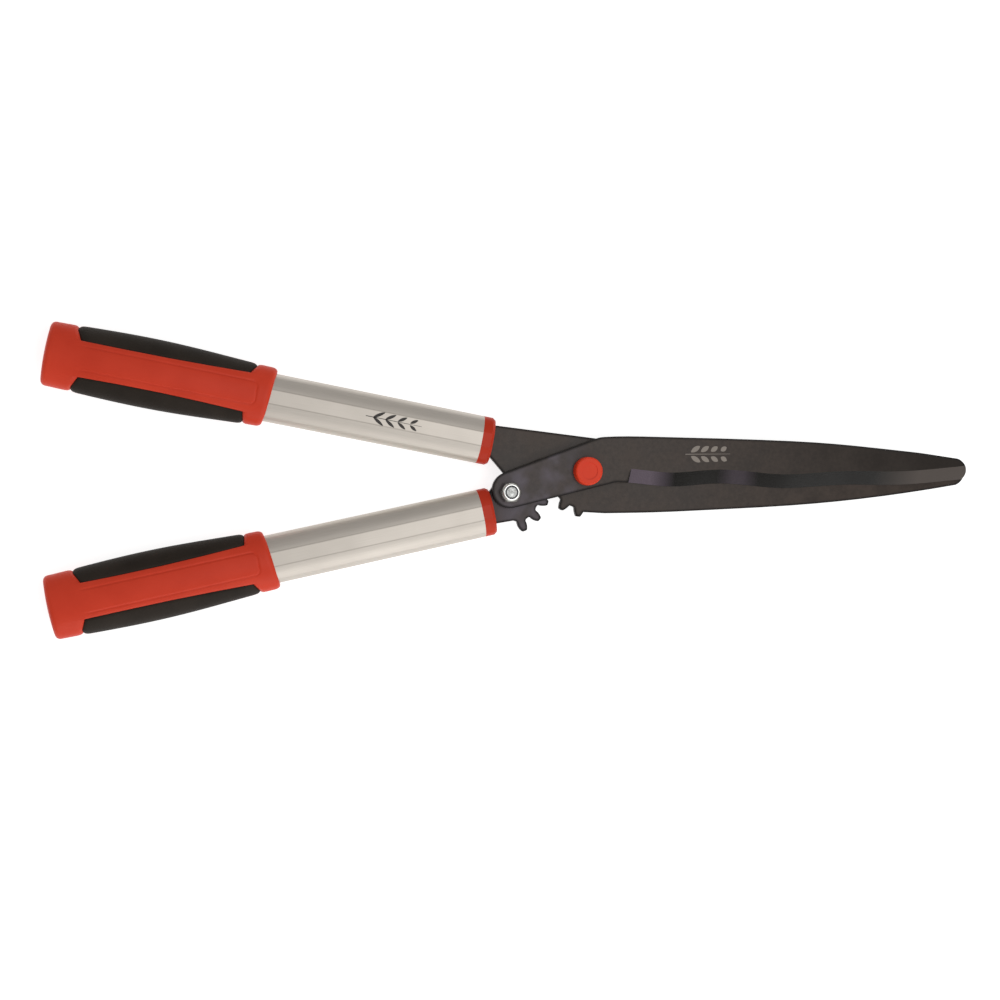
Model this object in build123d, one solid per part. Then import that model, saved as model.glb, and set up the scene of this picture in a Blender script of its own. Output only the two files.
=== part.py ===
from build123d import *
import os
from math import acos, cos, hypot, pi, radians, sin, sqrt, tan

os.makedirs("parts", exist_ok=True)

# Geared hedge shears, closed, lying flat. Millimetres and degrees.
# Lengths along the tool are measured from the main pivot, towards the blade tip.
# y is measured from the tool's long axis, z from the surface that the grips lie on.
# ROW_X moves the finished pieces so that the origin is the centre of the whole length.

ROW_X = 36.34                # main pivot, from the middle of the tool's length
HANDLE_Z = 14.0              # height of the handles' centre line

# Plates: the toothed plates lie in one layer, the front blade lies on top of them.
PLATE_T = 3.5
PLATE_GAP = 0.3
REAR_Z0 = HANDLE_Z - PLATE_T / 2
REAR_Z1 = HANDLE_Z + PLATE_T / 2
FRONT_Z0 = REAR_Z1 + PLATE_GAP
FRONT_Z1 = FRONT_Z0 + PLATE_T

# Pivots
PIVOT = (0.0, 2.8)           # main pivot, blade on blade
LEVER = (-54.6, -11.1)       # pivot of the lower handle's toothed plate
BOLT_R = 4.0
BUSH_R = 6.0
RUNNING_GAP = 0.05           # radial clearance of a plate on its bush

# Blades: half of a blade pair's outline, the same for both blades.
SPINE = [(13.4, 26.3), (50, 26.2), (90, 25.1), (140, 23.3), (190, 20.1), (240, 14.9), (279.5, 9.5)]
TIP_SHOULDER = (284.6, 5.6)
TIP = (286.4, 1.0)
TIP_HEEL = (286.0, -2.4)
CUTTING_EDGE = [(23.4, -4.9), (62, -8.3), (95, -6.5), (141.5, -10.2), (189.5, -8.4), (216.5, -8.8),
                (283.5, -5.5)]
BEVEL_WIDTH = 9.6
SPINE_END_ANGLE = -8.5
EDGE_START_ANGLE = -2.0      # direction of the cutting edge at its start and at the tip
EDGE_END_ANGLE = 5.0
EDGE_T = 0.5                 # thickness left along the cutting edge
BEVEL_START = (29.6, 2.2)    # where the ground bevel starts, and how far its start line leans
GRIND_START = 34.0           # the rear blade's back is ground flat from here to its tip
GRIND_DEPTH = 0.2
BEVEL_LOW_Y = 5.0            # how far below the long axis the bevel's start line begins to lean
PAST_TIP = 12.0              # cutting shapes reach this far past what they cut
CUT_REACH = 60.0

# Front blade's arm, from the main pivot back to the lever pivot
LOBE = (-54.2, -9.5)
LOBE_R = 12.3
ARM_SHOULDER_X = 8.5         # where the arm's straight sides end, at the spine and at the cutting edge
ARM_THROAT_X = 14.0
ARM_TOP_ANGLE = 19.4
ARM_LOW_ANGLE = 12.9

# Rear blade's plate behind the blade
REAR_RING_TOP_W = 11.3       # across the handle, where the plate meets the collar
REAR_RING_LOW_W = -9.4
REAR_HEEL = (7.4, 25.4)      # end of the plate's straight top side, hidden by the front blade
REAR_HEEL_MIDDLE = (16.5, 14.5)
REAR_HEEL_ANGLE = -7.3
REAR_INNER_CORNERS = [(-1.5, -25.3), (-6, -12), (-20, 4), (-32.9, 10.3)]
REAR_THROAT = (-57.9, 2.2)
LOBE_ANGLES = (78, 112)      # around the lever's hub, where the closed handles stop

# Lever plate
LEVER_RING_TOP_W = -12.2
LEVER_RING_LOW_W = 9.0
LEVER_HUB_ANGLE = 160        # where the plate's edge leaves the hub
LEVER_HEEL = (-51.2, -30.3)

# Gears: external teeth cut on the two rear plates
LEVER_TEETH = 14
BLADE_TEETH = 15
PRESSURE_ANGLE = 28.0
PROFILE_SHIFT = 0.1         # added on the blade's gear, taken off the lever's gear
BACKLASH = 2.2               # stamped gears, so the teeth are loose in their gaps
GEAR_LEAN = 1.5              # how far the blade's teeth are turned from the middle of their gaps
LEVER_TOOTH_ANGLE = -66.8    # first tooth of the lever's gear
LEVER_TOOTH_COUNT = 5
LEVER_ROOT_R = 21.9
LEVER_TIP_R = 28.7
BLADE_ROOT_R = 25.8
BLADE_TIP_R = 31.6
BLADE_TOOTH_COUNT = 5
SECTOR_START = 3.0           # the lever's toothed sector starts inside its first tooth
LAST_TOOTH_LAND = 17.0       # and ends this far past the middle of its last one, in degrees
BLADE_SECTOR = (150, 5.0)    # start of the blade's toothed sector, and its end past the last tooth
TOOTH_FOOT = 2.0             # how far a tooth goes down into its sector
HUB_R = 11.5                 # lever plate around its pivot
TOOTH_TIP_ROUND = 1.0
TOOTH_ROOT_ROUND = 1.6
STOP_GAP = 0.3               # blade plate to lever hub, when closed

# Handles. The handle's own frame has x along the tube towards the butt, y outwards, z up.
HANDLE_START = (-74.0, 25.07)    # front end of the tube, for the upper handle
HANDLE_ANGLE = 11.35
TUBE_HALF_W = 16.25
TUBE_HALF_T = 10.0
TUBE_FLAT = 4.7              # half width of the flat panel along the tube
TUBE_SIDE_R = 20.0
TUBE_END_R = 8.0
TUBE_WALL = 1.6
TUBE_LENGTH = 274.0
FERRULE_FLANGE = 8.0
FERRULE_PLUG = 60.0
TANG_INSIDE = 54.0
TANG_HALF_W = 8.5
RIVET_AT = (18.0, 44.0)
RIVET_R = 2.4
RIVET_HEAD_R = 4.4
RIVET_HEAD_T = 1.3
RIVET_PAST_TANG = 1.5
FERRULE_NOSE_DROP = 1.2      # how much the collar's front edge is cut back, and over what length
FERRULE_NOSE_LENGTH = 1.8

# Grips: half widths along the handle; every section is an ellipse.
GRIP_STATIONS = [(139, 20.0), (158, 20.3), (186, 21.9), (217, 22.6), (248, 22.3), (270, 21.3), (287.3, 20.8)]
GRIP_FLATNESS = 0.6187       # half thickness over half width
GRIP_FRONT = (141.8, 148.4)  # where the grip starts on its outer and inner side
GRIP_FRONT_ROUND = 2.5
GRIP_BUTT_ROUND = 3.5
GRIP_BORE_END = 276.0
PAD_T = 2.6
OUTER_PAD = [(154.1, 24), (158.6, 13.0), (185, 12.0), (212, 11.3), (240, 11.1), (266.4, 11.2), (270.0, 20),
             (270.0, 24)]
INNER_PAD = [(158.0, -24), (159.2, -13.3), (185, -12.4), (212, -11.8), (240, -11.8), (264.4, -12.2),
             (268.3, -21), (268.3, -24)]

# Main pivot hardware
CAP_R = 9.85
CAP_TOP_R = 9.5
CAP_H = 6.3
CAP_WALL = 1.3
CAP_ROUND = 1.2
CAP_WASHER_GAP = 0.3
CAP_RECESS_R = 5.9
CAP_RECESS_H = 0.4
NUT_FLATS = 13.0
NUT_CHAMFER = (0.6, 1.1)
THIN_NUT_H = 4.0
SPRING_WASHER_H = 0.8
SPRING_WASHER_R = 8.0
SPRING_WASHER_GAP = 0.2
SLIT_ANGLE = 20
SLIT_W = 1.2
SHIM_R = 10.5
HEAD_R = 10.0
HEAD_H = 3.6
HEAD_ROUND = 1.2
THREAD_CHAMFER = 0.6
HEAD_GAP = 0.1
SOCKET_FLATS = 5.0
SOCKET_H = 2.2

# Lever pivot hardware: a nut with a nylon ring
LOCK_NUT_HEX_H = 4.7
LOCK_NUT_H = 6.7
LOCK_NUT_COLLAR_R = 5.9
LOCK_NUT_COLLAR_ROUND = 0.9
INSERT_R = 5.1
INSERT_H = 1.5
INSERT_TOP_GAP = 0.4
LOCK_NUT_MOUTH_R = 4.7
BOLT_PAST_NUT = 0.4


def polar(centre, radius, angle):
    """The point at a radius and an angle in degrees from a centre."""
    return (centre[0] + radius * cos(radians(angle)), centre[1] + radius * sin(radians(angle)))


def flip(points):
    """The same points on the other side of the tool's long axis."""
    return [(x, -y) for x, y in points]


def heading(angle):
    return (cos(radians(angle)), sin(radians(angle)))


def plate(face, low):
    """A plate of the common thickness, its lower side at the height low."""
    return extrude(Pos(0, 0, low) * face, PLATE_T)


def drill(centre, radius):
    """A cylinder through every plate, for a hole on a pivot's axis."""
    return Pos(centre[0], centre[1], HANDLE_Z) * Cylinder(radius, 60)


def edge_curve(points, side):
    """The wavy cutting edge through the points given; side is -1 where it is flipped."""
    return Spline(*points, tangents=[heading(side * EDGE_START_ANGLE), heading(side * EDGE_END_ANGLE)])


# ---- blades -------------------------------------------------------------------------------

def bevel_cutter(side):
    """What grinding takes off a blade: side +1 for the front blade, -1 for the rear blade."""
    slope = BEVEL_WIDTH / (PLATE_T - EDGE_T)
    faces = []
    for height in (0.0, PLATE_T + 1.0):
        rise = slope * (height - EDGE_T)
        edge = [(x, y + rise) for x, y in CUTTING_EDGE]
        far = (edge[-1][0] + PAST_TIP, edge[-1][1])
        corners = [far, (far[0], -CUT_REACH), (edge[0][0], -CUT_REACH), edge[0]]
        outline = edge_curve(edge, 1) + Line(edge[-1], far) + Polyline(*corners)
        faces.append(Pos(0, 0, height) * make_face(outline))
    ground = loft(faces, ruled=True)
    start, lean = BEVEL_START
    end = TIP[0] + 2 * PAST_TIP
    top = 1.5 * BEVEL_WIDTH
    lean_top = start + lean * (top + BEVEL_LOW_Y) / BEVEL_WIDTH
    kept = Polyline((start, -CUT_REACH), (start, -BEVEL_LOW_Y), (lean_top, top), (end, top),
                    (end, -CUT_REACH), close=True)
    ground = ground & extrude(make_face(kept), PLATE_T + 1)
    if side > 0:
        return Pos(0, 0, FRONT_Z0) * ground
    return Pos(0, 0, REAR_Z1) * Rot(180, 0, 0) * ground


def front_blade():
    """The front blade and its arm: one plate that carries both pivots."""
    top_start = polar(LOBE, LOBE_R, ARM_TOP_ANGLE + 90)
    low_start = polar(LOBE, LOBE_R, ARM_LOW_ANGLE - 90)
    shoulder = (ARM_SHOULDER_X, top_start[1] + (ARM_SHOULDER_X - top_start[0]) * tan(radians(ARM_TOP_ANGLE)))
    throat = (ARM_THROAT_X, low_start[1] + (ARM_THROAT_X - low_start[0]) * tan(radians(ARM_LOW_ANGLE)))
    outline = Line(top_start, shoulder)
    outline += Spline(shoulder, *SPINE, tangents=[heading(ARM_TOP_ANGLE), heading(SPINE_END_ANGLE)])
    outline += ThreePointArc(SPINE[-1], TIP_SHOULDER, TIP)
    outline += ThreePointArc(TIP, TIP_HEEL, CUTTING_EDGE[-1])
    outline += edge_curve(CUTTING_EDGE, 1)
    outline += Spline(throat, CUTTING_EDGE[0], tangents=[heading(ARM_LOW_ANGLE), heading(EDGE_START_ANGLE)])
    outline += Line(throat, low_start)
    outline += ThreePointArc(low_start, polar(LOBE, LOBE_R, 180), top_start)
    blank = plate(make_face(outline), FRONT_Z0)
    blank -= drill(PIVOT, BOLT_R) + drill(LEVER, BOLT_R)
    return blank - bevel_cutter(1)


# ---- gears --------------------------------------------------------------------------------

CENTRES = hypot(PIVOT[0] - LEVER[0], PIVOT[1] - LEVER[1])
CENTRE_ANGLE = 90 - acos((PIVOT[1] - LEVER[1]) / CENTRES) * 180 / pi
MODULE = 2 * CENTRES / (LEVER_TEETH + BLADE_TEETH)


def involute(angle):
    return tan(angle) - angle


def tooth(centre, angle, teeth, root_r, tip_r, shift):
    """One involute tooth, each flank drawn as an arc from its base circle to its tip."""
    pitch_r = MODULE * teeth / 2
    base_r = pitch_r * cos(radians(PRESSURE_ANGLE))
    thickness = MODULE * (pi / 2 + 2 * shift * tan(radians(PRESSURE_ANGLE))) - BACKLASH / 2
    pitch_half = thickness / pitch_r / 2 + involute(radians(PRESSURE_ANGLE))

    def half_angle(radius):
        return (pitch_half - involute(acos(min(1.0, base_r / radius)))) * 180 / pi

    start_r = max(base_r, root_r)
    middle_r = (start_r + tip_r) / 2
    radii = (start_r, middle_r, tip_r)
    left = [polar(centre, r, angle + half_angle(r)) for r in radii]
    right = [polar(centre, r, angle - half_angle(r)) for r in radii]
    foot_r = root_r - TOOTH_FOOT
    foot_left = polar(centre, foot_r, angle + half_angle(start_r))
    foot_right = polar(centre, foot_r, angle - half_angle(start_r))
    outline = Line(foot_left, left[0]) + ThreePointArc(*left)
    outline += ThreePointArc(left[2], polar(centre, tip_r, angle), right[2])
    outline += ThreePointArc(*reversed(right)) + Line(right[0], foot_right) + Line(foot_right, foot_left)
    return make_face(outline)


def pie(centre, radius, start, end):
    """A slice of a disc between two angles."""
    middle = polar(centre, radius, (start + end) / 2)
    first = polar(centre, radius, start)
    last = polar(centre, radius, end)
    return make_face(Line(centre, first) + ThreePointArc(first, middle, last) + Line(last, centre))


def soften_teeth(part, centre, root_r, tip_r):
    """Round the teeth's tip corners and the corners at their roots."""
    for radius, size in ((tip_r, TOOTH_TIP_ROUND), (root_r, TOOTH_ROOT_ROUND)):
        chosen = []
        for edge in part.edges().filter_by(Axis.Z):
            middle = edge.center()
            if abs(hypot(middle.X - centre[0], middle.Y - centre[1]) - radius) < 0.02:
                chosen.append(edge)
        part = fillet(chosen, size)
    return part


# ---- rear plates --------------------------------------------------------------------------

def handle_point(t, w, side):
    """A point given along and across a handle, in the tool's frame; side is +1 for the upper handle."""
    lean = radians(HANDLE_ANGLE)
    x = HANDLE_START[0] - t * cos(lean) + w * sin(lean)
    y = HANDLE_START[1] + t * sin(lean) + w * cos(lean)
    return (x, side * y)


def tang_strip(side):
    """The straight part of a toothed plate that goes into its handle."""
    front = -FERRULE_FLANGE - 0.5
    half = TANG_HALF_W
    corners = [(front, half), (TANG_INSIDE, half), (TANG_INSIDE, -half), (front, -half)]
    return make_face(Polyline(*[handle_point(t, w, side) for t, w in corners], close=True))


def rear_face():
    """Outline of the rear blade with its gear and the upper handle's tang."""
    front = -FERRULE_FLANGE
    spine = flip(SPINE)
    edge = flip(CUTTING_EDGE)
    ring_top = handle_point(front, REAR_RING_TOP_W, 1)
    ring_low = handle_point(front, REAR_RING_LOW_W, 1)
    lobe_end = polar(LEVER, HUB_R + STOP_GAP, LOBE_ANGLES[0])
    lobe_middle = polar(LEVER, HUB_R + STOP_GAP, sum(LOBE_ANGLES) / 2)
    lobe_corner = polar(LEVER, HUB_R + STOP_GAP, LOBE_ANGLES[1])
    outline = Line(ring_top, REAR_HEEL)
    outline += Spline(REAR_HEEL, REAR_HEEL_MIDDLE, edge[0],
                      tangents=[heading(REAR_HEEL_ANGLE), heading(-EDGE_START_ANGLE)])
    outline += edge_curve(edge, -1)
    outline += ThreePointArc(edge[-1], (TIP_HEEL[0], -TIP_HEEL[1]), (TIP[0], -TIP[1]))
    outline += ThreePointArc((TIP[0], -TIP[1]), (TIP_SHOULDER[0], -TIP_SHOULDER[1]), spine[-1])
    outline += Spline(*spine, tangents=[heading(0), heading(-SPINE_END_ANGLE)])
    outline += Polyline(spine[0], *REAR_INNER_CORNERS, lobe_end)
    outline += ThreePointArc(lobe_end, lobe_middle, lobe_corner)
    outline += Polyline(lobe_corner, REAR_THROAT, ring_low, ring_top)
    return make_face(outline)


def rear_blade():
    """The rear blade, its gear and its tang: one plate that turns on the main pivot."""
    pitch = 360 / BLADE_TEETH
    meshing = LEVER_TOOTH_ANGLE + 3 * 360 / LEVER_TEETH - CENTRE_ANGLE
    gap_angle = 180 + CENTRE_ANGLE - meshing * LEVER_TEETH / BLADE_TEETH
    last = gap_angle + 2.5 * pitch + GEAR_LEAN
    face = rear_face() + tang_strip(1) + pie(PIVOT, BLADE_ROOT_R, BLADE_SECTOR[0], last + BLADE_SECTOR[1])
    for k in range(BLADE_TOOTH_COUNT):
        face += tooth(PIVOT, last - k * pitch, BLADE_TEETH, BLADE_ROOT_R, BLADE_TIP_R, PROFILE_SHIFT)
    blank = soften_teeth(plate(face, REAR_Z0), PIVOT, BLADE_ROOT_R, BLADE_TIP_R)
    blank -= drill(PIVOT, BUSH_R + RUNNING_GAP) + bevel_cutter(-1) + upper(rivet_shanks())
    grind = Box(TIP[0], CUT_REACH, GRIND_DEPTH, align=(Align.MIN, Align.CENTER, Align.MIN))
    grind = Pos(GRIND_START, 0, REAR_Z0) * grind
    return blank - grind


def gear_lever():
    """The lower handle's toothed plate, which turns on the lever pivot."""
    front = -FERRULE_FLANGE
    pitch = 360 / LEVER_TEETH
    ring_top = handle_point(front, LEVER_RING_TOP_W, -1)
    ring_low = handle_point(front, LEVER_RING_LOW_W, -1)
    hub_side = polar(LEVER, HUB_R, LEVER_HUB_ANGLE)
    sector_end = LEVER_TOOTH_ANGLE + (LEVER_TOOTH_COUNT - 1) * pitch + LAST_TOOTH_LAND
    body = Polyline(ring_top, hub_side, LEVER, polar(LEVER, LEVER_ROOT_R, LEVER_TOOTH_ANGLE - SECTOR_START),
                    LEVER_HEEL, ring_low, close=True)
    face = make_face(body) + tang_strip(-1)
    face += Pos(LEVER[0], LEVER[1]) * Circle(HUB_R)
    face += pie(LEVER, LEVER_ROOT_R, LEVER_TOOTH_ANGLE - SECTOR_START, sector_end)
    for k in range(LEVER_TOOTH_COUNT):
        angle = LEVER_TOOTH_ANGLE + k * pitch
        face += tooth(LEVER, angle, LEVER_TEETH, LEVER_ROOT_R, LEVER_TIP_R, -PROFILE_SHIFT)
    blank = soften_teeth(plate(face, REAR_Z0), LEVER, LEVER_ROOT_R, LEVER_TIP_R)
    return blank - drill(LEVER, BUSH_R + RUNNING_GAP) - lower(rivet_shanks())


# ---- handles, in the lower handle's own frame; the upper ones are their mirror images ------

def lower(part):
    """Put a piece made in the handle's frame on the lower handle."""
    lean = radians(HANDLE_ANGLE)
    frame = Plane(origin=(HANDLE_START[0], -HANDLE_START[1], HANDLE_Z), x_dir=(-cos(lean), -sin(lean), 0),
                  z_dir=(0, 0, 1))
    return frame.location * part


def upper(part):
    return mirror(lower(part), Plane.XZ)


def tube_section():
    """A quarter of the tube's flat-sided oval is worked out, then repeated by mirroring."""
    reach = TUBE_SIDE_R - TUBE_END_R
    end_x = TUBE_HALF_W - TUBE_END_R
    gap = hypot(end_x - TUBE_FLAT, TUBE_HALF_T)
    # The side arc passes the flat panel's edge and meets the end arc smoothly.
    along = (TUBE_SIDE_R ** 2 - reach ** 2 + gap ** 2) / (2 * gap)
    across = sqrt(TUBE_SIDE_R ** 2 - along ** 2)
    ux, uy = (end_x - TUBE_FLAT) / gap, -TUBE_HALF_T / gap
    centre = (TUBE_FLAT + along * ux + across * uy, TUBE_HALF_T + along * uy - across * ux)
    join_x = end_x + TUBE_END_R * (end_x - centre[0]) / reach
    join_y = -TUBE_END_R * centre[1] / reach
    middle = Vector((TUBE_FLAT + join_x) / 2 - centre[0], (TUBE_HALF_T + join_y) / 2 - centre[1]).normalized()
    bulge = (centre[0] + TUBE_SIDE_R * middle.X, centre[1] + TUBE_SIDE_R * middle.Y)
    top = Line((-TUBE_FLAT, TUBE_HALF_T), (TUBE_FLAT, TUBE_HALF_T))
    side = ThreePointArc((TUBE_FLAT, TUBE_HALF_T), bulge, (join_x, join_y))
    end = ThreePointArc((join_x, join_y), (TUBE_HALF_W, 0), (join_x, -join_y))
    right = side + end + mirror(side, Plane.XZ)
    outline = top + right + mirror(top, Plane.XZ) + mirror(right, Plane.YZ)
    return make_face(outline)


def along_handle(section, start, end):
    """Extrude a section along the handle, from one distance to another."""
    return extrude(Plane.YZ.offset(start) * section, end - start)


def rivet_shanks():
    """The rivets' shanks, which also cut the rivets' holes."""
    bottom = -TUBE_HALF_T
    top = PLATE_T / 2 + RIVET_PAST_TANG
    shape = Cylinder(RIVET_R, top - bottom, align=(Align.CENTER, Align.CENTER, Align.MIN))
    return Part() + [Pos(t, 0, bottom) * shape for t in RIVET_AT]


def handle_rivets():
    """Dome-headed rivets, set from the underside through the tube, the plug and the tang."""
    head = Cylinder(RIVET_HEAD_R, RIVET_HEAD_T, align=(Align.CENTER, Align.CENTER, Align.MAX))
    head = fillet(head.edges().sort_by(Axis.Z)[0], RIVET_HEAD_T * 0.8)
    return rivet_shanks() + [Pos(t, 0, -TUBE_HALF_T) * head for t in RIVET_AT]


def tube():
    ring = tube_section() - offset(tube_section(), -TUBE_WALL)
    return along_handle(ring, 0, TUBE_LENGTH) - rivet_shanks()


def ferrule():
    """The plug that holds the tang in the tube, with the collar that shows in front of the tube."""
    section = tube_section()
    nose_end = FERRULE_NOSE_LENGTH - FERRULE_FLANGE
    front = Plane.YZ.offset(-FERRULE_FLANGE) * offset(section, -FERRULE_NOSE_DROP)
    nose = loft([front, Plane.YZ.offset(nose_end) * section], ruled=True)
    collar = nose + along_handle(section, nose_end, 0)
    plug = along_handle(offset(section, -TUBE_WALL), nose_end, FERRULE_PLUG)
    slot_length = FERRULE_FLANGE + TANG_INSIDE
    slot = Pos(-FERRULE_FLANGE, 0, 0) * Box(slot_length, 2 * TANG_HALF_W, PLATE_T,
                                            align=(Align.MIN, Align.CENTER, Align.CENTER))
    return collar + plug - slot - rivet_shanks()


def grip_loft(inset):
    """The grip's outer form, or a smaller form inside it."""
    sections = []
    for t, half_w in GRIP_STATIONS:
        oval = Ellipse(half_w - inset, half_w * GRIP_FLATNESS - inset)
        sections.append(Plane.YZ.offset(t) * oval)
    return loft(sections)


def grip_blank():
    """The whole grip before its pads and bore are taken out of it."""
    outer_t, inner_t = GRIP_FRONT
    lean = (inner_t - outer_t) / 40
    start = 0.5 * (outer_t + inner_t)
    front = Polyline((start - 30 * lean, 30), (400, 30), (400, -30), (start + 30 * lean, -30), close=True)
    blank = grip_loft(0) & extrude(make_face(front), 30, both=True)
    blank = fillet(blank.faces().sort_by(Axis.X)[0].edges(), GRIP_FRONT_ROUND)
    return fillet(blank.faces().sort_by(Axis.X)[-1].edges(), GRIP_BUTT_ROUND)


def grip_pad(outline):
    """One soft pad, let into a side of the grip."""
    region = extrude(make_face(Polyline(*outline, close=True)), 30, both=True)
    return (grip_blank() & region) - grip_loft(PAD_T)


def grip_shell():
    bore = along_handle(tube_section(), 100, GRIP_BORE_END)
    return grip_blank() - grip_pad(OUTER_PAD) - grip_pad(INNER_PAD) - bore


# ---- pivots --------------------------------------------------------------------------------

def hexagon(flats, height):
    """A hexagonal bar, standing on z = 0, with its corners towards the blade and the handles."""
    return extrude(RegularPolygon(flats / 2, 6, major_radius=False), height)


def nut_form(flats, height):
    """A hexagon whose corners are chamfered at its top."""
    corner_r = flats / sqrt(3)
    round_bar = Cylinder(corner_r, height, align=(Align.CENTER, Align.CENTER, Align.MIN))
    round_bar = chamfer(round_bar.edges().sort_by(Axis.Z)[-1], *NUT_CHAMFER)
    return hexagon(flats, height) & round_bar


def upright(radius, low, high):
    return Pos(0, 0, low) * Cylinder(radius, high - low, align=(Align.CENTER, Align.CENTER, Align.MIN))


def bolt(head_r, head_h, end_z):
    """A bolt put in from below, with a low head and a hexagon socket."""
    head_top = REAR_Z0 - HEAD_GAP
    head = upright(head_r, head_top - head_h, head_top)
    head = fillet(head.edges().sort_by(Axis.Z)[0], HEAD_ROUND)
    socket = Pos(0, 0, head_top - head_h) * hexagon(SOCKET_FLATS, SOCKET_H)
    shank = upright(BOLT_R, head_top, end_z)
    shank = chamfer(shank.edges().sort_by(Axis.Z)[-1], THREAD_CHAMFER)
    return head + shank - socket


def bush():
    """The steel sleeve that a plate turns on, clamped between the bolt's head and the front blade."""
    low = REAR_Z0 - HEAD_GAP
    return upright(BUSH_R, low, FRONT_Z0) - upright(BOLT_R, low, FRONT_Z0)


def shim():
    """The thin slip washer between two plates."""
    return upright(SHIM_R, REAR_Z1, FRONT_Z0) - upright(BUSH_R, REAR_Z1, FRONT_Z0)


def spring_washer():
    low, high = FRONT_Z1, FRONT_Z1 + SPRING_WASHER_H
    ring = upright(SPRING_WASHER_R, low, high) - upright(BOLT_R + SPRING_WASHER_GAP, low, high)
    slit = Pos(SPRING_WASHER_R, 0, low) * Rot(0, 0, SLIT_ANGLE) * Box(SPRING_WASHER_R * 1.5, SLIT_W, PLATE_T)
    return ring - slit


def pivot_nut():
    low = FRONT_Z1 + SPRING_WASHER_H
    return Pos(0, 0, low) * nut_form(NUT_FLATS, THIN_NUT_H) - upright(BOLT_R, low, low + THIN_NUT_H)


def pivot_cap():
    """The cap pressed over the main pivot's nut, with a shallow dish in its top."""
    body = Cone(CAP_R, CAP_TOP_R, CAP_H, align=(Align.CENTER, Align.CENTER, Align.MIN))
    body = fillet(body.edges().sort_by(Axis.Z)[-1], CAP_ROUND)
    body -= upright(CAP_RECESS_R, CAP_H - CAP_RECESS_H, CAP_H)
    washer_room = upright(SPRING_WASHER_R + CAP_WASHER_GAP, 0, SPRING_WASHER_H + SPRING_WASHER_GAP)
    pocket = hexagon(NUT_FLATS, CAP_H - CAP_WALL)
    return Pos(0, 0, FRONT_Z1) * (body - washer_room - pocket)


def lock_nut():
    """A nut with a crimped collar that holds a nylon ring."""
    body = nut_form(NUT_FLATS, LOCK_NUT_HEX_H) + upright(LOCK_NUT_COLLAR_R, LOCK_NUT_HEX_H, LOCK_NUT_H)
    body = fillet(body.edges().sort_by(Axis.Z)[-1], LOCK_NUT_COLLAR_ROUND)
    insert_low = LOCK_NUT_H - INSERT_TOP_GAP - INSERT_H
    body -= upright(BOLT_R, 0, LOCK_NUT_H)
    body -= upright(INSERT_R, insert_low, LOCK_NUT_H - INSERT_TOP_GAP)
    body -= upright(LOCK_NUT_MOUTH_R, insert_low, LOCK_NUT_H)
    return Pos(0, 0, FRONT_Z1) * body


def nut_insert():
    high = FRONT_Z1 + LOCK_NUT_H - INSERT_TOP_GAP
    return upright(INSERT_R, high - INSERT_H, high) - upright(BOLT_R, high - INSERT_H, high)


# ---- the whole tool ------------------------------------------------------------------------

def save(name, part):
    """Move a part to the tool's frame and write its solids as one node."""
    solids = (Pos(ROW_X, 0, 0) * part).solids()
    node = Compound(children=solids) if len(solids) > 1 else solids[0]
    export_step(node, f"parts/{name}.step")


save("front_blade", front_blade())
save("rear_blade", rear_blade())
save("lower_gear_lever", gear_lever())

HANDLE_PIECES = {
    "tube": tube(),
    "ferrule": ferrule(),
    "handle_rivets": handle_rivets(),
    "grip_shell": grip_shell(),
    "grip_outer_pad": grip_pad(OUTER_PAD),
    "grip_inner_pad": grip_pad(INNER_PAD),
}
for name, piece in HANDLE_PIECES.items():
    save("lower_" + name, lower(piece))
    save("upper_" + name, upper(piece))

AT_PIVOT = Pos(PIVOT[0], PIVOT[1], 0)
save("pivot_bolt", AT_PIVOT * bolt(HEAD_R, HEAD_H, FRONT_Z1 + SPRING_WASHER_H + THIN_NUT_H))
save("pivot_bush", AT_PIVOT * bush())
save("pivot_shim", AT_PIVOT * shim())
save("pivot_spring_washer", AT_PIVOT * spring_washer())
save("pivot_nut", AT_PIVOT * pivot_nut())
save("pivot_cap", AT_PIVOT * pivot_cap())

AT_LEVER = Pos(LEVER[0], LEVER[1], 0)
save("lever_bolt", AT_LEVER * bolt(HEAD_R - 1, HEAD_H, FRONT_Z1 + LOCK_NUT_H + BOLT_PAST_NUT))
save("lever_bush", AT_LEVER * bush())
save("lever_shim", AT_LEVER * shim())
save("lever_lock_nut", AT_LEVER * lock_nut())
save("lever_nut_insert", AT_LEVER * nut_insert())
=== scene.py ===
from math import acos, cos, degrees, pi, radians, sin

import bmesh
import bpy
import numpy as np
from mathutils import Matrix, Vector


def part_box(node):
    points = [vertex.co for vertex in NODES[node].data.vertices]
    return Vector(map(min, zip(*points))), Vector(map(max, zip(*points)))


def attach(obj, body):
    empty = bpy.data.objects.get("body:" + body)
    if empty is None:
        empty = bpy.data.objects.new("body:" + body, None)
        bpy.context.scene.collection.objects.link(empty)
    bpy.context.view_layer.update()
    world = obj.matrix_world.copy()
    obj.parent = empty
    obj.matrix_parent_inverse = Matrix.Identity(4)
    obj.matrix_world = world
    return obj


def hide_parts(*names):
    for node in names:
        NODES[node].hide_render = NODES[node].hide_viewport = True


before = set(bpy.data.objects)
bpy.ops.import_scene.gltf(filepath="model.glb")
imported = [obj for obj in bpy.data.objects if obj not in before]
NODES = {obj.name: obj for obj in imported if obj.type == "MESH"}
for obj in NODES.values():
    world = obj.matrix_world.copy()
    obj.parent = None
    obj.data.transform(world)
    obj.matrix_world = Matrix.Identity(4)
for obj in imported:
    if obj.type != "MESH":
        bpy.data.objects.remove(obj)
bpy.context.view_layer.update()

# Geared hedge shears lying on a pale floor. Metres, in the frame of the CAD model.
MM = 0.001

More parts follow.
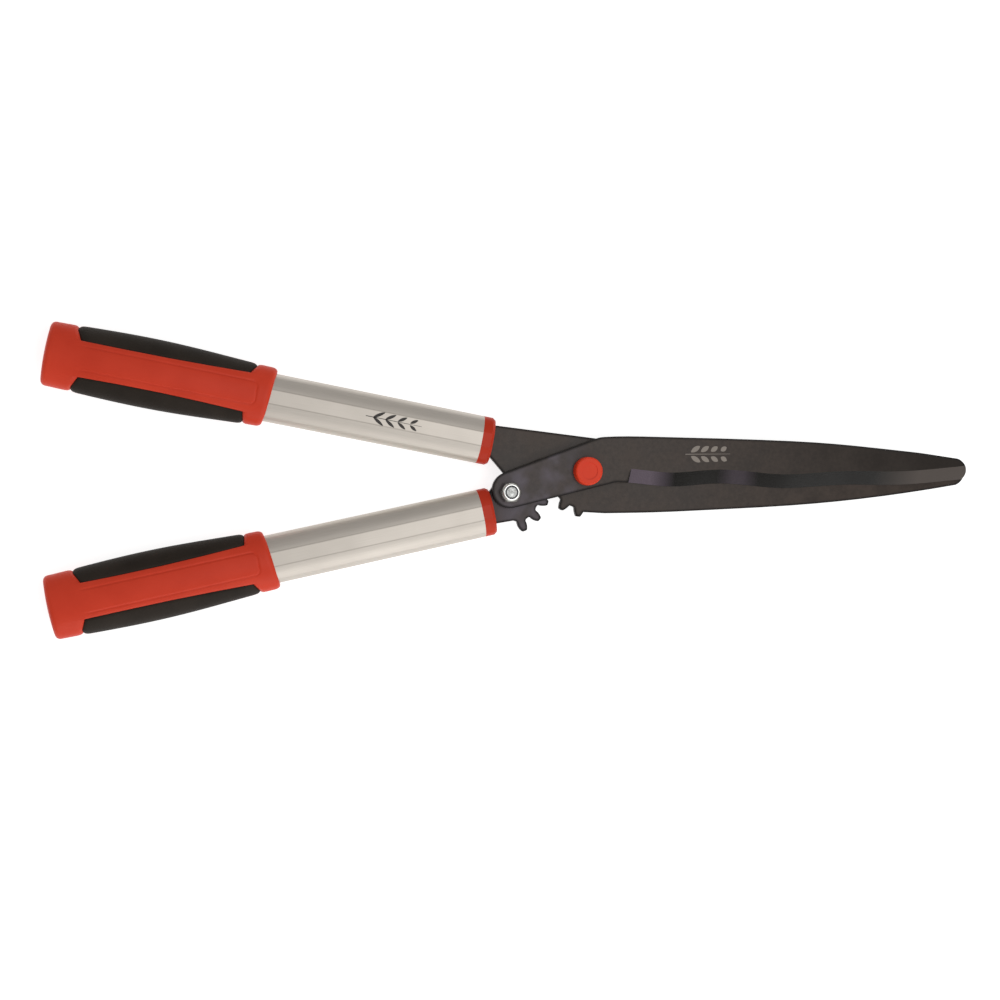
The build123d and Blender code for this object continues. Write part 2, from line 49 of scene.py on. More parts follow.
# Handles: a handle's own frame has t along the tube towards the butt, w outwards, z up, in mm.
HANDLE_START = (-37.66, 25.07)
HANDLE_ANGLE = radians(11.35)
HANDLE_Z = 14.0
TUBE_HALF_T = 10.0
TUBE_PANEL_HALF_W = 4.7
TUBE_AXIS_Y = HANDLE_START[0] * sin(HANDLE_ANGLE) + HANDLE_START[1] * cos(HANDLE_ANGLE)
BLADE_FACE_Z = 19.55

# Grips, in mm
GRIP_STATIONS = [(139, 20.0), (158, 20.3), (186, 21.9), (217, 22.6), (248, 22.3), (270, 21.3), (287.3, 20.8)]
GRIP_WIDTH_FIT = np.polyfit(*np.array(GRIP_STATIONS).T, 4)
GRIP_FLATNESS = 0.6187
GRIP_FRONT_T = 143.6
GRIP_FRONT_LEAN = 0.09
GRIP_FRONT_ROUND = 2.4
GRIP_FRONT_REACH = 3.8
GRIP_BUTT_T = 287.3
GRIP_BUTT_ROUND = 3.2
GRIP_DOME = 1.0
GRIP_MOUTH = (16.0, 9.8)
PAD_DEPTH = 2.4
PAD_SEAM = 0.14
OUTER_EDGE = [(158.6, 13.0), (185, 12.0), (212, 11.3), (240, 11.1), (266.4, 11.2)]
INNER_EDGE = [(159.2, 13.3), (185, 12.4), (212, 11.8), (240, 11.8), (264.4, 12.2)]
OUTER_FRONT_SLANT = 0.41
INNER_FRONT_SLANT = 0.14
OUTER_REAR_SLANT = 0.41
INNER_REAR_SLANT = 0.44
GROOVE_W = 7.7
GROOVE_FRONT_T = 153.0
GROOVE_CORNER = 3.5
GROOVE_DEPTH = 0.4
GROOVE_WIDTH = 0.55
GROOVE_FADE = (258.0, 269.0)
GRIP_MIDDLE_T = 210.0
MOUTH_T = 145.0
MOUTH_DEPTH = 5
SLANT_REACH = 8.8
EULER = 2.718

# Rounded edges of the grips: (depth, width over which it fades)
BODY_SEAM_EDGE = (0.3, 0.5)
BODY_END_NOTCH = (1.3, 1.1)
PAD_SIDE_EDGE = (0.5, 0.5)
PAD_END_EDGE = (1.5, 1.1)
PAD_PROUD = 0.08
PAD_SIDE_GAP = 0.009
PAD_SKIRT = PAD_DEPTH - 0.1

# Rows and columns of the grips' meshes
PAD_COLUMNS = 30
PANEL_COLUMNS = 64
ROUND_ROWS = 8
FRONT_ROWS = 24
PAD_ROWS = 120
BUTT_ROWS = 12
DOME_SHARES = (0.92, 0.8, 0.6, 0.4, 0.2, 0.0)
RUBBER_COLUMNS = 40
RUBBER_ROWS = 216

# Colours, as darker and lighter pairs where a surface is mottled between two
STEEL = ((0.034, 0.0245, 0.0195), (0.054, 0.0390, 0.0310))
# painted sheen: the bluish colour painted over the arm and the lever
STEEL_PAINTED_SHEEN = (0.112, 0.095, 0.118)
# painted shade: the dark colour painted towards the front blade's tip
STEEL_PAINTED_SHADE = (0.009, 0.0065, 0.0045)
# painted shade: the dark colour painted along the plates' rims
STEEL_RIM_SHADE = (0.004, 0.003, 0.0025)
BEVEL_BLACK = (0.0030, 0.0020, 0.0008)
# painted reflections on the bevel: violet over two stretches, paler towards the tip
BEVEL_VIOLET_REFLECTION = (0.135, 0.106, 0.132)
BEVEL_PALE_REFLECTION = (0.064, 0.048, 0.039)
GRIP_RED = ((0.625, 0.043, 0.016), (0.685, 0.052, 0.021))
CAP_RED = ((0.72, 0.044, 0.012), (0.78, 0.052, 0.016))
COLLAR_RED = ((0.48, 0.028, 0.008), (0.54, 0.034, 0.010))
RUBBER_BLACK = ((0.0165, 0.0115, 0.0078), (0.0255, 0.0182, 0.0128))
ALUMINIUM = ((0.555, 0.512, 0.460), (0.655, 0.608, 0.552))
# painted shade: the darker line painted along each crease of the tube's flat panel
CREASE_SHADE_GREY = (0.30, 0.27, 0.235)
ZINC_GREY = ((0.50, 0.51, 0.52), (0.66, 0.66, 0.66))
TURNED_GREY = ((0.42, 0.42, 0.43), (0.56, 0.56, 0.57))
WORN_GREY = ((0.10, 0.10, 0.095), (0.46, 0.47, 0.46))
NUT_BRIGHT = (0.72, 0.72, 0.69)
# painted reflection: the dark colour painted on top of the nut's hexagon
NUT_DARK_REFLECTION = (0.040, 0.033, 0.029)
NYLON_GREY = ((0.05, 0.055, 0.07), (0.09, 0.10, 0.12))
SLIP_CREAM = ((0.60, 0.59, 0.55), (0.72, 0.71, 0.67))
PAPER_WHITE = ((0.52, 0.52, 0.52), (0.55, 0.55, 0.55))
DARK_INK = (0.03, 0.024, 0.02)
GREY_INK = (0.29, 0.25, 0.215)

# Where painted sheen, painted shade and painted reflections lie on the coating, as spans of x in mm
ARM_SHEEN = (-14, 18)
LEVER_SHEEN = (-14, 10)
# painted shade along the front blade, growing towards its tip
BLADE_SHADE_SPAN = (130, 330)
SHEEN_SOFT = 22
# painted reflections on the bevel: violet over the next two spans, paler over the last
BEVEL_SHEEN = (60, 82)
BEVEL_SHEEN_SOFT = 18
BEVEL_SECOND_SHEEN = (143, 150)
BEVEL_SECOND_SOFT = 12
BEVEL_PALE_SPAN = (250, 285)
# how far the painted shade along the plates' rims reaches, in metres
RIM_SHADE_REACH = 0.0021
NUT_COLLAR_R = 5.8
CREASE_HALF_WIDTH = (0.15, 0.6)

# Printed marks: length, width and centre in mm
TUBE_MARK = (38, 8.6)
TUBE_MARK_T = 61
BLADE_MARK = (33, 14)
BLADE_MARK_AT = (124, 14)
INK_THICKNESS = 0.04

# Studio
FLOOR_HALF = 25.0
FLOOR_Z = -0.0012
FLOOR_GLOW = 0.78
WORLD_STRENGTH = 0.43


# ---- shader helpers ------------------------------------------------------------------------

def new_material(name, roughness, metallic=0.0):
    material = bpy.data.materials.new(name)
    material.use_nodes = True
    shader = material.node_tree.nodes["Principled BSDF"]
    shader.inputs["Roughness"].default_value = roughness
    shader.inputs["Metallic"].default_value = metallic
    return material, material.node_tree, shader


def coordinates(tree, turn=0.0, stretch=(1, 1, 1)):
    """Object coordinates in mm, turned about z and then scaled."""
    source = tree.nodes.new("ShaderNodeTexCoord")
    rotate = tree.nodes.new("ShaderNodeMapping")
    rotate.inputs["Rotation"].default_value = (0, 0, turn)
    rotate.inputs["Scale"].default_value = (1 / MM,) * 3
    scale = tree.nodes.new("ShaderNodeMapping")
    scale.inputs["Scale"].default_value = stretch
    tree.links.new(source.outputs["Object"], rotate.inputs["Vector"])
    tree.links.new(rotate.outputs[0], scale.inputs["Vector"])
    return scale.outputs[0]


def noise(tree, vector, scale, detail=3.0, rough=0.5):
    node = tree.nodes.new("ShaderNodeTexNoise")
    node.inputs["Scale"].default_value = scale
    node.inputs["Detail"].default_value = detail
    node.inputs["Roughness"].default_value = rough
    tree.links.new(vector, node.inputs["Vector"])
    return node.outputs["Fac"]


def remap(tree, value, low, high, to_low, to_high):
    node = tree.nodes.new("ShaderNodeMapRange")
    for socket, number in zip(("From Min", "From Max", "To Min", "To Max"), (low, high, to_low, to_high)):
        node.inputs[socket].default_value = number
    tree.links.new(value, node.inputs["Value"])
    return node.outputs["Result"]


def calc(tree, operation, first, second):
    node = tree.nodes.new("ShaderNodeMath")
    node.operation = operation
    for socket, value in zip(node.inputs, (first, second)):
        if isinstance(value, (int, float)):
            socket.default_value = value
        else:
            tree.links.new(value, socket)
    return node.outputs[0]


def mix_colour(tree, factor, first, second):
    node = tree.nodes.new("ShaderNodeMix")
    node.data_type = "RGBA"
    tree.links.new(factor, node.inputs["Factor"])
    for socket, value in zip((node.inputs[6], node.inputs[7]), (first, second)):
        if isinstance(value, tuple):
            socket.default_value = (*value, 1)
        else:
            tree.links.new(value, socket)
    return node.outputs[2]


def mottled(tree, value, pair):
    """The darker colour of a pair where a noise is low, and the lighter one where it is high."""
    return mix_colour(tree, remap(tree, value, 0.3, 0.7, 0, 1), *pair)


def bump(tree, shader, height, distance, strength=1.0):
    node = tree.nodes.new("ShaderNodeBump")
    node.inputs["Strength"].default_value = strength
    node.inputs["Distance"].default_value = distance
    tree.links.new(height, node.inputs["Height"])
    tree.links.new(node.outputs[0], shader.inputs["Normal"])


def split(tree, vector):
    node = tree.nodes.new("ShaderNodeSeparateXYZ")
    tree.links.new(vector, node.inputs[0])
    return node.outputs


# ---- materials -----------------------------------------------------------------------------

def coated_steel(name, sheen_span=None, ground_side=0, shade_span=None):
    """Dark coating on stamped steel: a painted bluish sheen over sheen_span, painted shade darkening it
    along the last span, and painted shade darkest at its rim.
    """
    material, tree, shader = new_material(name, 0.4)
    shader.inputs["Specular IOR Level"].default_value = 0.26
    plain = coordinates(tree)
    grain = coordinates(tree, stretch=(0.12, 1.6, 1.0))
    mottle = noise(tree, plain, 0.05, 4)
    cloud = noise(tree, plain, 0.35, 5, 0.65)
    fine = noise(tree, plain, 2.2, 2)
    brushed = noise(tree, grain, 1.4, 4, 0.6)
    shade = calc(tree, "ADD", calc(tree, "MULTIPLY", mottle, 0.5), calc(tree, "MULTIPLY", cloud, 0.5))
    colour = mix_colour(tree, remap(tree, shade, 0.4, 0.6, 0, 1), *STEEL)
    place = split(tree, plain)
    # painted sheen: a bluish sheen painted into the colour over sheen_span, in noisy patches
    if sheen_span:
        sheen = span_mask(tree, place[0], *sheen_span, SHEEN_SOFT)
        patches = remap(tree, noise(tree, plain, 0.07, 2), 0.35, 0.62, 0.1, 0.75)
        colour = mix_colour(tree, calc(tree, "MULTIPLY", sheen, patches), colour, STEEL_PAINTED_SHEEN)
    # painted shade: the colour is darkened along this span, towards the front blade's tip
    if shade_span:
        painted_shade = remap(tree, place[0], *shade_span, 0, 0.8)
        colour = mix_colour(tree, painted_shade, colour, STEEL_PAINTED_SHADE)
    shine = remap(tree, mottle, 0.3, 0.7, 0.31, 0.40)
    shine = calc(tree, "ADD", shine, remap(tree, fine, 0.3, 0.7, -0.03, 0.03))
    if ground_side:
        ground = bevel_mask(tree, ground_side)
        colour = mix_colour(tree, ground, colour, bevel_colour(tree, place[0], fine))
        shine = calc(tree, "SUBTRACT", shine, calc(tree, "MULTIPLY", ground, 0.21))
    # painted shade: the colour is darkened along each plate's rim, except on the ground bevel
    rim = rim_shade_mask(tree)
    if ground_side:
        rim = calc(tree, "MULTIPLY", rim, calc(tree, "SUBTRACT", 1, ground))
    colour = mix_colour(tree, calc(tree, "MULTIPLY", rim, 0.9), colour, STEEL_RIM_SHADE)
    shine = calc(tree, "ADD", shine, calc(tree, "MULTIPLY", rim, 0.3))
    tree.links.new(colour, shader.inputs["Base Color"])
    tree.links.new(shine, shader.inputs["Roughness"])
    bump(tree, shader, calc(tree, "ADD", fine, brushed), 0.00003, 0.5)
    return material


def rim_shade_mask(tree):
    """Painted shade: 1 along the rim of a plate, where its stamped edge rolls over and is shaded darker, and
    0 away from it.
    """
    node = tree.nodes.new("ShaderNodeAmbientOcclusion")
    node.inside = True
    node.only_local = True
    node.samples = 8
    node.inputs["Distance"].default_value = RIM_SHADE_REACH
    return remap(tree, node.outputs["AO"], 0.66, 0.96, 1, 0)


def span_mask(tree, along, start, end, soft):
    """1 between two places along the tool, falling to 0 over a soft distance outside them."""
    after = remap(tree, along, start - soft, start, 0, 1)
    before = remap(tree, along, end, end + soft, 1, 0)
    return calc(tree, "MULTIPLY", after, before)


def bevel_mask(tree, side):
    """1 on the ground bevel, told by the slope of the surface."""
    source = tree.nodes.new("ShaderNodeTexCoord")
    facing = split(tree, source.outputs["Normal"])
    ground = remap(tree, calc(tree, "MULTIPLY", facing[1], -side), 0.2, 0.27, 0, 1)
    upright = remap(tree, calc(tree, "ABSOLUTE", facing[2], 0), 0.6, 0.75, 0, 1)
    return calc(tree, "MULTIPLY", ground, upright)


def bevel_colour(tree, along, fine):
    """The bevel's coating: nearly black, with a painted violet reflection over two stretches and a painted
    paler reflection towards its end.
    """
    start_sheen = span_mask(tree, along, *BEVEL_SHEEN, BEVEL_SHEEN_SOFT)
    second_sheen = span_mask(tree, along, *BEVEL_SECOND_SHEEN, BEVEL_SECOND_SOFT)
    second_sheen = calc(tree, "MULTIPLY", second_sheen, 0.42)
    sheen = calc(tree, "MAXIMUM", start_sheen, second_sheen)
    sheen = calc(tree, "MULTIPLY", sheen, remap(tree, fine, 0.3, 0.7, 0.7, 1))
    colour = mix_colour(tree, sheen, BEVEL_BLACK, BEVEL_VIOLET_REFLECTION)
    return mix_colour(tree, remap(tree, along, *BEVEL_PALE_SPAN, 0, 0.9), colour, BEVEL_PALE_REFLECTION)


def red_plastic(name, pair):
    """Satin moulded plastic with a fine spark-eroded grain."""
    material, tree, shader = new_material(name, 0.38)
    shader.inputs["Specular IOR Level"].default_value = 0.2
    plain = coordinates(tree)
    mottle = noise(tree, plain, 0.04, 3)
    fine = noise(tree, plain, 3.5, 2, 0.6)
    colour = mottled(tree, mottle, pair)
    tree.links.new(colour, shader.inputs["Base Color"])
    tree.links.new(remap(tree, fine, 0.3, 0.7, 0.34, 0.46), shader.inputs["Roughness"])
    bump(tree, shader, fine, 0.00004, 0.6)
    return material


def pad_rubber(name):
    """Soft-touch rubber with a pebbled moulded skin."""
    material, tree, shader = new_material(name, 0.6)
    shader.inputs["Specular IOR Level"].default_value = 0.18
    shader.inputs["Sheen Weight"].default_value = 0.03
    shader.inputs["Sheen Roughness"].default_value = 0.5
    plain = coordinates(tree)
    mottle = noise(tree, plain, 0.06, 3)
    pebbles = tree.nodes.new("ShaderNodeTexVoronoi")
    pebbles.inputs["Scale"].default_value = 1.5
    tree.links.new(plain, pebbles.inputs["Vector"])
    height = pebbles.outputs["Distance"]
    colour = mottled(tree, mottle, RUBBER_BLACK)
    tree.links.new(colour, shader.inputs["Base Color"])
    tree.links.new(remap(tree, height, 0.0, 0.6, 0.52, 0.68), shader.inputs["Roughness"])
    bump(tree, shader, height, 0.00008, 0.6)
    return material


def brushed_aluminium(name, turn):
    """Satin anodised tube, with drawing lines along it and a fine line of painted shade on each crease of
    its flat panel.
    """
    material, tree, shader = new_material(name, 0.46, 1.0)
    grain = coordinates(tree, turn, (0.015, 1.5, 1.5))
    plain = coordinates(tree)
    lines = noise(tree, grain, 3.0, 5, 0.65)
    mottle = noise(tree, plain, 0.03, 3)
    colour = mottled(tree, lines, ALUMINIUM)
    # painted shade: a darker line painted along each crease of the flat panel
    across = calc(tree, "ABSOLUTE", split(tree, coordinates(tree, turn))[1], 0)
    from_middle = calc(tree, "ABSOLUTE", calc(tree, "SUBTRACT", across, TUBE_AXIS_Y), 0)
    from_crease = calc(tree, "ABSOLUTE", calc(tree, "SUBTRACT", from_middle, TUBE_PANEL_HALF_W), 0)
    colour = mix_colour(tree, remap(tree, from_crease, *CREASE_HALF_WIDTH, 0.5, 0), colour, CREASE_SHADE_GREY)
    tree.links.new(colour, shader.inputs["Base Color"])
    shine = remap(tree, lines, 0.3, 0.7, 0.44, 0.55)
    shine = calc(tree, "ADD", shine, remap(tree, mottle, 0.3, 0.7, -0.03, 0.03))
    tree.links.new(shine, shader.inputs["Roughness"])
    bump(tree, shader, lines, 0.00003, 0.5)
    return material


def plated_steel(name, pair, roughness):
    """Bright or turned steel of the bolts, nuts, bushes and rivets."""
    material, tree, shader = new_material(name, roughness, 1.0)
    plain = coordinates(tree)
    cloud = noise(tree, plain, 0.5, 4)
    scratches = noise(tree, coordinates(tree, 0.6, (0.2, 3.0, 1.0)), 2.0, 4, 0.7)
    tree.links.new(mottled(tree, cloud, pair), shader.inputs["Base Color"])
    shine = remap(tree, scratches, 0.3, 0.7, roughness - 0.06, roughness + 0.08)
    tree.links.new(shine, shader.inputs["Roughness"])
    bump(tree, shader, scratches, 0.00003, 0.5)
    return material


def nut_with_painted_dark_top(name, node):
    """Zinc plating, bright on the crimped collar and the flats, with a painted dark reflection on top of the
    hexagon.
    """
    material, tree, shader = new_material(name, 0.22, 1.0)
    low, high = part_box(node)
    plain = coordinates(tree)
    place = split(tree, plain)
    across = calc(tree, "SUBTRACT", place[0], (low.x + high.x) / 2 / MM)
    along = calc(tree, "SUBTRACT", place[1], (low.y + high.y) / 2 / MM)
    squared = calc(tree, "ADD", calc(tree, "POWER", across, 2), calc(tree, "POWER", along, 2))
    radius = calc(tree, "POWER", squared, 0.5)
    # painted reflection: upward-facing parts outside the collar are darkened, in noisy patches
    reflection_patches = noise(tree, plain, 0.8, 4, 0.6)
    source = tree.nodes.new("ShaderNodeTexCoord")
    upright = remap(tree, split(tree, source.outputs["Normal"])[2], 0.3, 0.6, 0, 1)
    outer = remap(tree, radius, NUT_COLLAR_R, NUT_COLLAR_R + 0.3, 0, 1)
    outer = calc(tree, "MULTIPLY", outer, remap(tree, reflection_patches, 0.3, 0.6, 1, 0.8))
    outer = calc(tree, "MULTIPLY", outer, upright)
    colour = mix_colour(tree, outer, NUT_BRIGHT, NUT_DARK_REFLECTION)
    tree.links.new(colour, shader.inputs["Base Color"])
    tree.links.new(remap(tree, outer, 0, 1, 0.18, 0.4), shader.inputs["Roughness"])
    bump(tree, shader, noise(tree, plain, 1.5, 4, 0.7), 0.00004, 0.5)
    return material


def moulded_nylon(name, pair, roughness):
    """The nut's locking ring and the slip washers."""
    material, tree, shader = new_material(name, roughness)
    plain = coordinates(tree)
    cloud = noise(tree, plain, 0.8, 3)
    tree.links.new(mottled(tree, cloud, pair), shader.inputs["Base Color"])
    shine = remap(tree, cloud, 0.3, 0.7, roughness - 0.05, roughness + 0.05)
    tree.links.new(shine, shader.inputs["Roughness"])
    bump(tree, shader, noise(tree, plain, 4.0), 0.00003, 0.5)
    return material


def printed_ink(name, colour):
    """Ink of the plain leaf marks, slightly broken up."""
    material, tree, shader = new_material(name, 0.5)
    plain = coordinates(tree)
    specks = remap(tree, noise(tree, plain, 2.5, 4, 0.7), 0.35, 0.65, 0, 1)
    darker = tuple(0.7 * part for part in colour)
    tree.links.new(mix_colour(tree, specks, darker, colour), shader.inputs["Base Color"])
    tree.links.new(remap(tree, specks, 0, 1, 0.42, 0.55), shader.inputs["Roughness"])
    return material


def floor_paper(name):
    """Matt studio paper that glows a little, so it stays white under soft light."""
    material, tree, shader = new_material(name, 0.9)
    plain = coordinates(tree)
    fibres = noise(tree, plain, 0.6, 5, 0.7)
    tree.links.new(mottled(tree, fibres, PAPER_WHITE), shader.inputs["Base Color"])
    shader.inputs["Specular IOR Level"].default_value = 0.1
    shader.inputs["Emission Color"].default_value = (1, 1, 1, 1)
    shader.inputs["Emission Strength"].default_value = FLOOR_GLOW
    bump(tree, shader, fibres, 0.00002, 0.2)
    return material


COATED_FRONT = coated_steel("coated_steel_front", ARM_SHEEN, 1, BLADE_SHADE_SPAN)
COATED_REAR = coated_steel("coated_steel_rear", ground_side=-1)
COATED_LEVER = coated_steel("coated_steel_lever", LEVER_SHEEN)
RED = red_plastic("red_plastic_moulded", GRIP_RED)
RED_CAP = red_plastic("red_plastic_cap", CAP_RED)
RED_COLLAR = red_plastic("red_plastic_collar", COLLAR_RED)
RUBBER = pad_rubber("pad_rubber_pebbled")
ZINC = plated_steel("zinc_plated", ZINC_GREY, 0.26)
TURNED = plated_steel("turned_steel", TURNED_GREY, 0.34)
NYLON = moulded_nylon("nylon_ring", NYLON_GREY, 0.45)
SLIP = moulded_nylon("slip_washer_plastic", SLIP_CREAM, 0.5)
PAPER = floor_paper("floor_paper")


def paint(node, material):
    """Give a CAD node its procedural material, with its mesh untouched."""
    slots = NODES[node].material_slots
    if not slots:
        NODES[node].data.materials.append(material)
    for place in slots:
        place.material = material


paint("front_blade", COATED_FRONT)
paint("rear_blade", COATED_REAR)
paint("lower_gear_lever", COATED_LEVER)
for side, turn in (("upper", HANDLE_ANGLE), ("lower", -HANDLE_ANGLE)):
    paint(side + "_tube", brushed_aluminium(side + "_brushed_aluminium", turn))
    paint(side + "_ferrule", RED_COLLAR)
    paint(side + "_handle_rivets", ZINC)
for node in ("pivot_bolt", "pivot_spring_washer", "pivot_nut"):
    paint(node, ZINC)
paint("lever_bolt", plated_steel("worn_bolt_end", WORN_GREY, 0.3))
paint("lever_lock_nut", nut_with_painted_dark_top("zinc_nut_painted_dark_top", "lever_lock_nut"))
for node in ("pivot_bush", "lever_bush"):
    paint(node, TURNED)
for node in ("pivot_shim", "lever_shim"):
    paint(node, SLIP)
paint("pivot_cap", RED_CAP)
paint("lever_nut_insert", NYLON)


# ---- detailed pieces -----------------------------------------------------------------------

def handle_place(t, w, z, side):
    """A point of a handle's own frame, in mm, in the model's frame in metres."""
    x = HANDLE_START[0] - t * cos(HANDLE_ANGLE) + w * sin(HANDLE_ANGLE)
    y = HANDLE_START[1] + t * sin(HANDLE_ANGLE) + w * cos(HANDLE_ANGLE)
    return Vector((x, side * y, HANDLE_Z + z)) * MM


def mesh_piece(name, vertices, faces, material, body, smooth_angle=40):
    """A closed mesh piece that rides on a CAD body."""
    mesh = bpy.data.meshes.new(name)
    mesh.from_pydata([tuple(v) for v in vertices], [], faces)
    shape = bmesh.new()
    shape.from_mesh(mesh)
    bmesh.ops.remove_doubles(shape, verts=shape.verts, dist=1e-6)
    bmesh.ops.dissolve_degenerate(shape, edges=shape.edges, dist=1e-7)
    bmesh.ops.recalc_face_normals(shape, faces=shape.faces)
    for face in shape.faces:
        face.smooth = True
    for edge in shape.edges:
        if len(edge.link_faces) == 2 and degrees(edge.calc_face_angle(0)) > smooth_angle:
            edge.smooth = False
    shape.to_mesh(mesh)
    shape.free()
    mesh.materials.append(material)
    piece = bpy.data.objects.new(name, mesh)
    bpy.context.scene.collection.objects.link(piece)
    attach(piece, body)
    return piece


def grid_faces(rows, columns, wrap):
    """Quads of a grid of rows and columns; with wrap the last column joins the first."""
    faces = []
    last = columns if wrap else columns - 1
    for i in range(rows - 1):
        for j in range(last):
            k = (j + 1) % columns
            faces.append((i * columns + j, i * columns + k, (i + 1) * columns + k, (i + 1) * columns + j))
    return faces


def smooth_step(value, low, high):
    x = min(1.0, max(0.0, (value - low) / (high - low)))
    return x * x * (3 - 2 * x)


def grip_half_width(t):
    return float(np.polyval(GRIP_WIDTH_FIT, t))


def edge_w(table, t):
    """Where a pad's long edge lies across the grip, at a distance along it."""
    return float(np.interp(t, *np.array(table).T))


def pad_line(w, front):
    """The distance along the grip of the line through the pads' front ends, or their rear ends."""
    outer, inner = (OUTER_EDGE[0], INNER_EDGE[0]) if front else (OUTER_EDGE[-1], INNER_EDGE[-1])
    if w > outer[1]:
        slant = -OUTER_FRONT_SLANT if front else OUTER_REAR_SLANT
        return outer[0] + slant * min(w - outer[1], SLANT_REACH)
    if -w > inner[1]:
        slant = -INNER_FRONT_SLANT if front else INNER_REAR_SLANT
        return inner[0] + slant * min(-w - inner[1], SLANT_REACH)
    share = (outer[1] - w) / (outer[1] + inner[1])
    return outer[0] + share * (inner[0] - outer[0])


def falloff(distance, depth, width):
    """The full depth at no distance, fading out over a width."""
    return depth * EULER ** (-distance / width)


def groove_depth(t, w):
    """Depth of the groove that outlines the grip's middle panel."""
    dt = GROOVE_FRONT_T + GROOVE_CORNER - t
    dw = abs(w) - (GROOVE_W - GROOVE_CORNER)
    outside = (max(dt, 0) ** 2 + max(dw, 0) ** 2) ** 0.5
    distance = outside + min(max(dt, dw), 0) - GROOVE_CORNER
    fade = 1 - smooth_step(t, *GROOVE_FADE)
    return GROOVE_DEPTH * fade * EULER ** (-(distance / GROOVE_WIDTH) ** 2)


def grip_point(t, angle, inset, side):
    """A point of the grip's oval at an angle round it, moved inwards by inset."""
    half_w = grip_half_width(t)
    half_z = half_w * GRIP_FLATNESS
    return handle_place(t, (half_w - inset) * cos(angle), (half_z - inset) * sin(angle), side)


def zone_angle(zone, share, t):
    """The angle round the grip of a column: zones are outer pad, top panel, inner pad, bottom panel."""
    half_w = grip_half_width(t)
    outer = acos(edge_w(OUTER_EDGE, t) / half_w)
    inner = pi - acos(edge_w(INNER_EDGE, t) / half_w)
    starts = (-outer, outer, inner, 2 * pi - inner, 2 * pi - outer)
    return starts[zone] + share * (starts[zone + 1] - starts[zone])


def nominal_place(zone, share):
    """Where a column lies across the grip at its middle."""
    return grip_half_width(GRIP_MIDDLE_T) * cos(zone_angle(zone, share, GRIP_MIDDLE_T))


def zone_columns():
    """(zone, share, in a pad's pocket) of every column round the grip, with a pocket's edges doubled."""
    columns = []
    for zone, count in enumerate((PAD_COLUMNS, PANEL_COLUMNS, PAD_COLUMNS, PANEL_COLUMNS)):
        for k in range(count + 1):
            columns.append((zone, k / count, zone % 2 == 0))
    return columns


def grip_body(side_name, side, body):
    """The red grip: a shell with pockets for the pads, a grooved middle panel and a domed butt."""
    columns = zone_columns()
    nominal_w = [nominal_place(zone, share) for zone, share, _ in columns]
    rows = []

    def add_row(line, inset, pocket):
        row = []
        for (zone, share, in_pad), w in zip(columns, nominal_w):
            t = line(w)
            angle = zone_angle(zone, share, t)
            depth = inset
            if pocket and in_pad:
                depth += PAD_DEPTH
            elif inset == 0:
                reach = grip_half_width(t) * cos(angle)
                depth += groove_depth(t, reach)
                if pocket:
                    gap = min(share, 1 - share) * 25
                    depth += falloff(gap, *BODY_SEAM_EDGE)
                elif in_pad:
                    gap = min(abs(t - pad_line(w, True)), abs(t - pad_line(w, False)))
                    depth += falloff(gap, *BODY_END_NOTCH)
            row.append(grip_point(t, angle, depth, side))
        rows.append(row)

    def front(w):
        return GRIP_FRONT_T - GRIP_FRONT_LEAN * w

    for inside in (MOUTH_DEPTH, 0):
        ring = zip(nominal_w, mouth_ring(columns))
        rows.append([handle_place(front(w) + inside, *place, side) for w, place in ring])
    for k in range(ROUND_ROWS + 1):
        turn = pi / 2 * k / ROUND_ROWS
        ahead = GRIP_FRONT_REACH * (1 - cos(turn))
        add_row(lambda w: front(w) + ahead, GRIP_FRONT_ROUND * (1 - sin(turn)), False)
    for k in range(1, FRONT_ROWS + 1):
        part = k / FRONT_ROWS
        add_row(lambda w: (1 - part) * (front(w) + GRIP_FRONT_REACH) + part * pad_line(w, True), 0, False)
    for k in range(PAD_ROWS + 1):
        part = k / PAD_ROWS
        add_row(lambda w: (1 - part) * pad_line(w, True) + part * pad_line(w, False), 0, True)
    butt = GRIP_BUTT_T - GRIP_BUTT_ROUND
    for k in range(BUTT_ROWS + 1):
        part = k / BUTT_ROWS
        add_row(lambda w: (1 - part) * pad_line(w, False) + part * butt, 0, False)
    for k in range(1, ROUND_ROWS + 1):
        turn = pi / 2 * k / ROUND_ROWS
        add_row(lambda w: butt + GRIP_BUTT_ROUND * sin(turn), GRIP_BUTT_ROUND * (1 - cos(turn)), False)
    rim = rows[-1]
    centre = handle_place(GRIP_BUTT_T, 0, 0, side)
    along = (handle_place(1, 0, 0, side) - handle_place(0, 0, 0, side))
    for share in DOME_SHARES:
        dome = along * GRIP_DOME * (1 - share ** 2)
        rows.append([centre + (point - centre) * share + dome for point in rim])
    vertices = [point for row in rows for point in row]
    piece = mesh_piece(side_name + "_grip_body", vertices, grid_faces(len(rows), len(columns), True),
                       RED, body)
    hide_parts(side_name + "_grip_shell")


def mouth_ring(columns):
    """The oval where the grip meets the tube."""
    ring = []
    for zone, share, _ in columns:
        angle = zone_angle(zone, share, MOUTH_T)
        ring.append((GRIP_MOUTH[0] * cos(angle), GRIP_MOUTH[1] * sin(angle)))
    return ring


